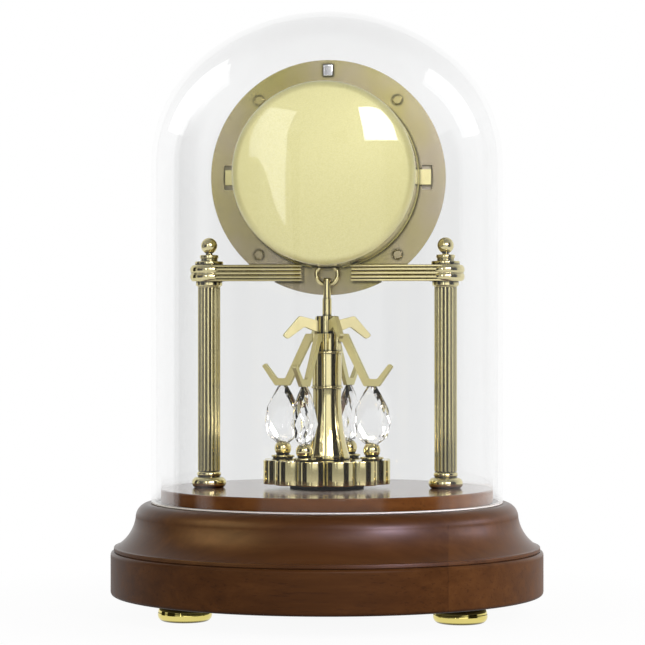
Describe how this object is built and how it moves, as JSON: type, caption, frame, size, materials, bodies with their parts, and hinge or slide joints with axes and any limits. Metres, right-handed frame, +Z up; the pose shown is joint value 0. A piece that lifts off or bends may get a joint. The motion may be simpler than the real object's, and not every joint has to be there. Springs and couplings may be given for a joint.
{
  "type": "desk clock",
  "caption": "Dome clock with a revolving pendulum: turned wooden base, reeded brass columns and beams, round dial with a pull-off rear cup, cut-glass drops and a lift-off glass dome.",
  "frame": {"origin": "on the surface that the clock stands on, on the vertical axis of base and dome", "axes": "+Z up; the dial looks along -Y and the rear cup along +Y; +X is on the right of the dial"},
  "size_m": [0.21, 0.21, 0.2923],
  "materials": {
    "walnut": "satin lacquer",
    "polished_brass": "polished",
    "satin_champagne": "satin",
    "pearl_gold": "gloss",
    "satin_steel": "satin",
    "bright_steel": "bright",
    "black_steel": "gloss",
    "dome_glass": "clear",
    "cut_glass": "clear, faceted",
    "ivory_dial": "satin",
    "black_felt": "felt",
    "black_plastic": "moulded",
    "white_plastic": "moulded",
    "battery_sleeve": "printed sleeve, bare",
    "board_green": "solder mask",
    "copper_wire": "enamelled wire"
  },
  "bodies": {
    "clock": {"base_plinth": "walnut", "base_moulding": "walnut", "platform": "walnut", "felt_pad": "black_felt", "foot_1": "polished_brass", "foot_2": "polished_brass", "foot_3": "polished_brass", "foot_screws": "bright_steel", "column_left": "polished_brass", "column_right": "polished_brass", "column_foot_left": "polished_brass", "column_foot_right": "polished_brass", "capital_left": "polished_brass", "capital_right": "polished_brass", "tie_rod_left": "bright_steel", "tie_rod_right": "bright_steel", "tie_nuts": "bright_steel", "beam_left": "polished_brass", "beam_right": "polished_brass", "beam_screws": "bright_steel", "finial_left": "polished_brass", "finial_right": "polished_brass", "dial_plate": "satin_champagne", "dial_face": "ivory_dial", "dial_posts": "satin_steel", "bezel": "polished_brass", "bezel_clip": "satin_steel", "dial_nut": "polished_brass", "movement_case": "black_plastic", "movement_lid": "black_plastic", "battery": "battery_sleeve", "battery_contacts": "bright_steel", "circuit_board": "board_green", "train_module": "black_plastic", "motor_coil": "copper_wire", "pendulum_motor": "black_plastic"},
    "dome": {"dome": "dome_glass"},
    "cup": {"rear_cup": "pearl_gold"},
    "eye": {"eye_spindle": "polished_brass"},
    "pendulum": {"suspension_rod": "polished_brass", "pendulum_hub": "polished_brass", "pendulum_drum": "polished_brass", "pendulum_bell": "polished_brass", "pendulum_plate": "polished_brass", "pendulum_bolt": "bright_steel", "hangers": "polished_brass", "wings": "polished_brass", "crystals": "cut_glass", "crystal_seats": "polished_brass"},
    "minute": {"minute_arbor": "bright_steel", "minute_hand": "black_steel"},
    "hour": {"hour_wheel": "white_plastic", "hour_hand": "black_steel"},
    "minute_work": {"minute_wheel": "white_plastic"},
    "setting": {"set_knob": "black_plastic"}
  },
  "joints": [
    {"name": "dome_lift", "type": "slide", "parent": "clock", "child": "dome", "axis": [0, 0, 1], "range_m": [0, 0.225]},
    {"name": "cup_pull", "type": "slide", "parent": "clock", "child": "cup", "axis": [0, 1, 0], "range_m": [0, 0.02]},
    {"name": "eye_turn", "type": "hinge", "parent": "clock", "child": "eye", "pos_m": [0, 0, 0.175], "axis": [0, 0, 1], "range_deg": [-180, 180]},
    {"name": "pendulum_swing", "type": "hinge", "parent": "eye", "child": "pendulum", "pos_m": [0, 0, 0.15988], "axis": [1, 0, 0], "range_deg": [-2.5, 2.5]},
    {"name": "minute_turn", "type": "hinge", "parent": "clock", "child": "minute", "pos_m": [0, -0.01, 0.2127], "axis": [0, 1, 0], "continuous": true},
    {"name": "hour_turn", "type": "hinge", "parent": "clock", "child": "hour", "pos_m": [0, -0.01, 0.2127], "axis": [0, 1, 0], "continuous": true},
    {"name": "minute_wheel_turn", "type": "hinge", "parent": "clock", "child": "minute_work", "pos_m": [-0.012, -0.005, 0.2127], "axis": [0, 1, 0], "continuous": true},
    {"name": "setting_turn", "type": "hinge", "parent": "clock", "child": "setting", "pos_m": [-0.018, 0.01, 0.20231], "axis": [0, 1, 0], "continuous": true}
  ],
  "couplings": [
    {"joint": "hour_turn", "follows": "minute_turn", "ratio": 0.083333},
    {"joint": "minute_wheel_turn", "follows": "minute_turn", "ratio": -0.33333},
    {"joint": "setting_turn", "follows": "minute_turn", "ratio": 1}
  ]
}
